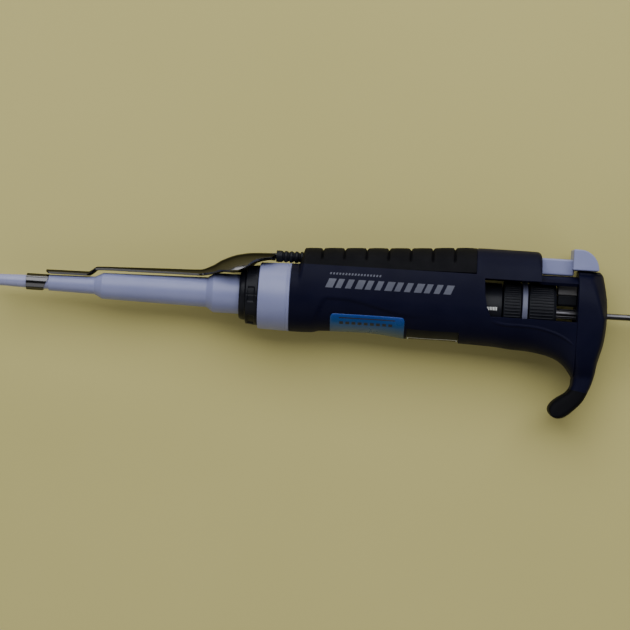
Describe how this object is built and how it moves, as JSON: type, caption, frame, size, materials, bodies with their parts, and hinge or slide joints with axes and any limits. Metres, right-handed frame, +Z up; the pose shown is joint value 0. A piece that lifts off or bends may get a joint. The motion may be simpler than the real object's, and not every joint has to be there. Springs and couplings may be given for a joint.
{
  "type": "adjustable micropipette",
  "caption": "Single-channel adjustable air-displacement pipette with thumbwheel volume setting, counter window, finger hook and tip ejector.",
  "frame": {"origin": "centre of the footprint, on the surface that the pipette lies on", "axes": "+X from the tip cone to the push button, +Y from the finger hook to the ejector, +Z up from the flank it lies on"},
  "size_m": [0.25, 0.0582, 0.024],
  "materials": {
    "grey_plastic": "satin moulded plastic, light lavender grey",
    "cone_plastic": "smooth moulded fluoropolymer, pale lavender",
    "handle_plastic": "fine satin texture, very dark blue",
    "black_plastic": "satin black plastic",
    "grip_rubber": "matte black rubber",
    "label_film": "printed film, blue fading to teal grey",
    "clear_window": "smoked clear plastic",
    "white_plastic": "smooth white plastic",
    "brass": "turned",
    "bright_steel": "polished stainless steel",
    "steel": "ground and drawn steel"
  },
  "bodies": {
    "handle": {"tip_cone": "cone_plastic", "shaft": "grey_plastic", "piston_seal": "white_plastic", "seal_o_ring": "grip_rubber", "seal_retainer": "brass", "spring_seat": "brass", "connecting_nut": "black_plastic", "handle_ring": "grey_plastic", "handle_shell": "handle_plastic", "grip_pad": "grip_rubber", "label": "label_film", "counter_window": "clear_window", "counter_frame": "black_plastic", "counter_mask": "black_plastic", "counter_end_plate": "black_plastic", "pinion_axle": "steel", "sleeve_bearing": "brass", "lead_nut": "brass", "index_ring": "black_plastic", "wheel_washer": "grey_plastic", "click_pawl": "black_plastic", "rod_guide_block": "grey_plastic", "top_cap": "handle_plastic", "hook_pad": "grip_rubber", "cap_screws": "steel", "rod_bushing": "black_plastic", "main_spring": "steel", "blowout_spring": "steel", "ejector_spring": "steel"},
    "volume_drive": {"thumbwheel": "black_plastic", "drive_sleeve": "black_plastic", "units_drum": "white_plastic"},
    "lock_ring": {"lock_ring": "black_plastic"},
    "tens_drum": {"tens_drum": "white_plastic"},
    "hundreds_drum": {"hundreds_drum": "white_plastic"},
    "units_pinion": {"units_pinion": "white_plastic"},
    "tens_pinion": {"tens_pinion": "white_plastic"},
    "volume_stop": {"thrust_washer": "white_plastic"},
    "spindle": {"spindle": "steel"},
    "plunger": {"piston": "steel", "piston_head": "black_plastic", "plunger_rod": "steel", "stop_collar": "brass", "push_button": "handle_plastic", "button_cap": "grey_plastic"},
    "blowout_ring": {"blowout_ring": "brass"},
    "ejector": {"ejector_button": "grey_plastic", "ejector_rod": "steel"},
    "adjusting_bolt": {"adjusting_bolt": "black_plastic"},
    "ejector_arm": {"ejector_arm": "bright_steel", "ejector_collar": "bright_steel", "arm_stud": "bright_steel"}
  },
  "joints": [
    {"name": "thumbwheel_turn", "type": "hinge", "parent": "handle", "child": "volume_drive", "pos_m": [-0.125, 0.00685, 0.012], "axis": [1, 0, 0], "range_deg": [-2880, 3600]},
    {"name": "lock_ring_turn", "type": "hinge", "parent": "handle", "child": "lock_ring", "pos_m": [-0.125, 0.00685, 0.012], "axis": [1, 0, 0], "range_deg": [0, 30]},
    {"name": "tens_drum_turn", "type": "hinge", "parent": "handle", "child": "tens_drum", "pos_m": [-0.125, 0.00685, 0.012], "axis": [1, 0, 0], "range_deg": [-289, 361]},
    {"name": "hundreds_drum_turn", "type": "hinge", "parent": "handle", "child": "hundreds_drum", "pos_m": [-0.125, 0.00685, 0.012], "axis": [1, 0, 0], "range_deg": [-29.5, 36.5]},
    {"name": "units_pinion_turn", "type": "hinge", "parent": "handle", "child": "units_pinion", "pos_m": [-0.125, 0.01293, 0.00393], "axis": [1, 0, 0], "range_deg": [-901, 721]},
    {"name": "tens_pinion_turn", "type": "hinge", "parent": "handle", "child": "tens_pinion", "pos_m": [-0.125, 0.01293, 0.00393], "axis": [1, 0, 0], "range_deg": [-91, 73]},
    {"name": "volume_stop_slide", "type": "slide", "parent": "handle", "child": "volume_stop", "axis": [1, 0, 0], "range_m": [-0.0053, 0.00662]},
    {"name": "spindle_turn", "type": "hinge", "parent": "volume_stop", "child": "spindle", "pos_m": [-0.125, 0.00685, 0.012], "axis": [1, 0, 0], "range_deg": [-2881, 3601]},
    {"name": "plunger_slide", "type": "slide", "parent": "volume_stop", "child": "plunger", "axis": [1, 0, 0], "range_m": [-0.0092, 0], "stiffness_N_per_m": 300, "springref_m": 0.02, "deforming": ["main_spring"]},
    {"name": "blowout_slide", "type": "slide", "parent": "handle", "child": "blowout_ring", "axis": [1, 0, 0], "range_m": [-0.0026, 0], "stiffness_N_per_m": 1500, "springref_m": 0.006, "deforming": ["blowout_spring"]},
    {"name": "ejector_slide", "type": "slide", "parent": "handle", "child": "ejector", "axis": [-1, 0, 0], "range_m": [0, 0.0098], "stiffness_N_per_m": 400, "springref_m": -0.01, "deforming": ["ejector_spring"]},
    {"name": "adjusting_bolt_turn", "type": "hinge", "parent": "ejector", "child": "adjusting_bolt", "pos_m": [-0.125, 0.02075, 0.012], "axis": [1, 0, 0], "range_deg": [-1, 1443]},
    {"name": "ejector_arm_slide", "type": "slide", "parent": "ejector", "child": "ejector_arm", "axis": [-1, 0, 0], "range_m": [0, 0.002]}
  ],
  "couplings": [
    {"joint": "tens_drum_turn", "follows": "thumbwheel_turn", "ratio": 0.1},
    {"joint": "hundreds_drum_turn", "follows": "thumbwheel_turn", "ratio": 0.01},
    {"joint": "units_pinion_turn", "follows": "thumbwheel_turn", "ratio": -0.25},
    {"joint": "tens_pinion_turn", "follows": "thumbwheel_turn", "ratio": -0.025},
    {"joint": "volume_stop_slide", "follows": "thumbwheel_turn", "m_per_rad": 0.00010504},
    {"joint": "spindle_turn", "follows": "thumbwheel_turn", "ratio": 1},
    {"joint": "adjusting_bolt_turn", "follows": "ejector_arm_slide", "rad_per_m": 12566}
  ]
}
